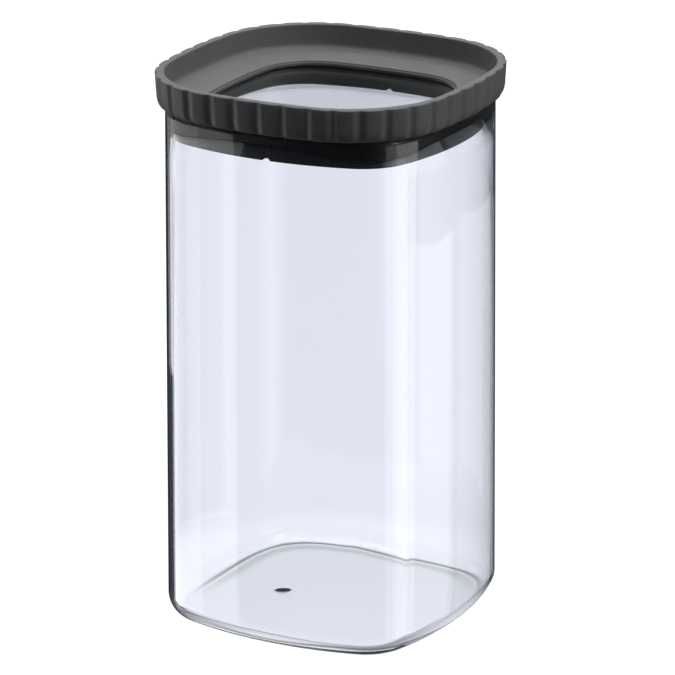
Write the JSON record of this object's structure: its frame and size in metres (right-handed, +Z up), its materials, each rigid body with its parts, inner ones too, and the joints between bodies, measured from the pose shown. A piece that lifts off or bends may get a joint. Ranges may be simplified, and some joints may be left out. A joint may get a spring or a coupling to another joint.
{
  "type": "lidded glass canister",
  "caption": "Rounded-square glass storage canister whose lift-off lid has a fluted grip rim, a stacking tray, a clear window and a seal ring on its plug.",
  "frame": {"origin": "centre of the flat band that the glass stands on", "axes": "+Z up through the lid; +X, -X, +Y and -Y each point out of the middle of a side"},
  "size_m": [0.108, 0.108, 0.1923],
  "materials": {
    "jar_glass": "clear borosilicate glass, polished",
    "frame_plastic": "matt dark grey, fine moulded texture",
    "plug_plastic": "satin charcoal grey",
    "pane_clear": "clear polished plastic",
    "seal_silicone": "black silicone, smooth"
  },
  "bodies": {
    "glass": {"glass_body": "jar_glass"},
    "lid": {"lid_frame": "frame_plastic", "lid_plug": "plug_plastic", "window_pane": "pane_clear", "seal_ring": "seal_silicone"}
  },
  "joints": [
    {"name": "lid_lift", "type": "slide", "parent": "glass", "child": "lid", "axis": [0, 0, 1], "range_m": [0, 0.06]}
  ]
}
